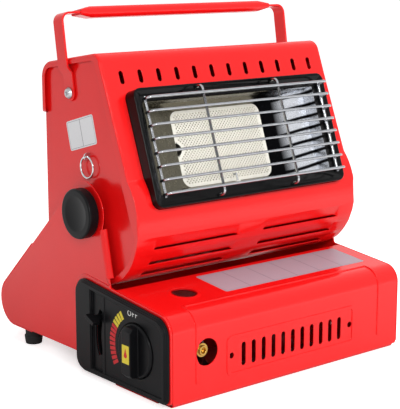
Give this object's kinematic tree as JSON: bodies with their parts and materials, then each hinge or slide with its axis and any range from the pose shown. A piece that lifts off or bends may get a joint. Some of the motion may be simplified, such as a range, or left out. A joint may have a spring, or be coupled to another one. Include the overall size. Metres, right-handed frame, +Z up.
{
  "type": "portable gas radiant heater",
  "caption": "Portable cartridge gas heater: a tilting louvred head with a ceramic burner behind a wire guard, on a stand with a lidded gas box, dial and folding carry handle.",
  "frame": {"origin": "on the ground under the middle of the overall box", "axes": "+X along the front towards the end without controls, +Y to the back, +Z up"},
  "size_m": [0.3195, 0.287, 0.3427],
  "materials": {
    "red_enamel": "gloss",
    "black_plastic": "satin",
    "foot_rubber": "matte",
    "black_enamel": "gloss",
    "chrome_wire": "polished",
    "plated_steel": "satin",
    "bright_reflector": "polished",
    "burner_ceramic": "matte",
    "fibre_gasket": "matte",
    "white_ceramic": "gloss",
    "zinc_casting": "satin",
    "turned_brass": "satin",
    "white_plastic": "satin"
  },
  "bodies": {
    "stand": {"left_arm": "red_enamel", "right_arm": "red_enamel", "rear_panel": "red_enamel", "base_tray": "red_enamel", "rear_feet": "foot_rubber", "cartridge_cradle": "plated_steel", "control_panel": "black_plastic", "regulator_body": "zinc_casting", "regulator_cap": "turned_brass", "gas_outlet": "turned_brass", "guide_pins": "plated_steel", "lever_pin": "plated_steel", "piezo_igniter": "white_plastic", "lid_pins": "plated_steel"},
    "dial": {"control_knob": "black_plastic", "valve_stem": "turned_brass"},
    "lever": {"lock_lever": "black_plastic"},
    "fork": {"collar_fork": "plated_steel"},
    "lid": {"cartridge_lid": "red_enamel"},
    "head": {"head_shell": "red_enamel", "back_cover": "red_enamel", "left_side_panel": "red_enamel", "right_side_panel": "red_enamel", "bezel": "black_enamel", "wire_guard": "chrome_wire", "reflector": "bright_reflector", "ceramic_plaque": "burner_ceramic", "plaque_gasket": "fibre_gasket", "burner_box": "plated_steel", "venturi_tube": "plated_steel", "jet_bracket": "plated_steel", "gas_jet": "turned_brass", "electrode_insulator": "white_ceramic", "spark_electrode": "plated_steel", "pivot_bushes": "black_plastic", "weld_nuts": "plated_steel", "ring_eyelet": "chrome_wire", "handle_screws": "plated_steel"},
    "handle": {"handle_strap": "red_enamel", "handle_grip": "red_enamel"},
    "ring": {"pull_ring": "chrome_wire"},
    "left_clamp": {"left_tilt_knob": "black_plastic", "left_tilt_stud": "plated_steel"},
    "right_clamp": {"right_tilt_knob": "black_plastic", "right_tilt_stud": "plated_steel"}
  },
  "joints": [
    {"name": "head_tilt", "type": "hinge", "parent": "stand", "child": "head", "pos_m": [0, -0.018, 0.157], "axis": [-1, 0, 0], "range_deg": [-20, 50]},
    {"name": "left_clamp_turn", "type": "hinge", "parent": "head", "child": "left_clamp", "pos_m": [-0.145, -0.018, 0.157], "axis": [-1, 0, 0], "range_deg": [0, 270]},
    {"name": "right_clamp_turn", "type": "hinge", "parent": "head", "child": "right_clamp", "pos_m": [0.145, -0.018, 0.157], "axis": [1, 0, 0], "range_deg": [0, 270]},
    {"name": "handle_fold", "type": "hinge", "parent": "head", "child": "handle", "pos_m": [0, 0.021, 0.26351], "axis": [-1, 0, 0], "range_deg": [-45, 110]},
    {"name": "ring_swing", "type": "hinge", "parent": "head", "child": "ring", "pos_m": [-0.1376, -0.008, 0.207], "axis": [0, 1, 0], "range_deg": [0, 120]},
    {"name": "lid_open", "type": "hinge", "parent": "stand", "child": "lid", "pos_m": [0, -0.0665, 0.0835], "axis": [-1, 0, 0], "range_deg": [0, 45]},
    {"name": "dial_turn", "type": "hinge", "parent": "stand", "child": "dial", "pos_m": [-0.15, -0.097, 0.044], "axis": [-1, 0, 0], "range_deg": [0, 130]},
    {"name": "lever_lock", "type": "hinge", "parent": "stand", "child": "lever", "pos_m": [-0.1424, -0.081, 0.044], "axis": [-1, 0, 0], "range_deg": [0, 40]},
    {"name": "fork_slide", "type": "slide", "parent": "stand", "child": "fork", "axis": [-1, 0, 0], "range_m": [0, 0.006]}
  ],
  "couplings": [
    {"joint": "lever_lock", "follows": "fork_slide", "rad_per_m": 116.35}
  ]
}
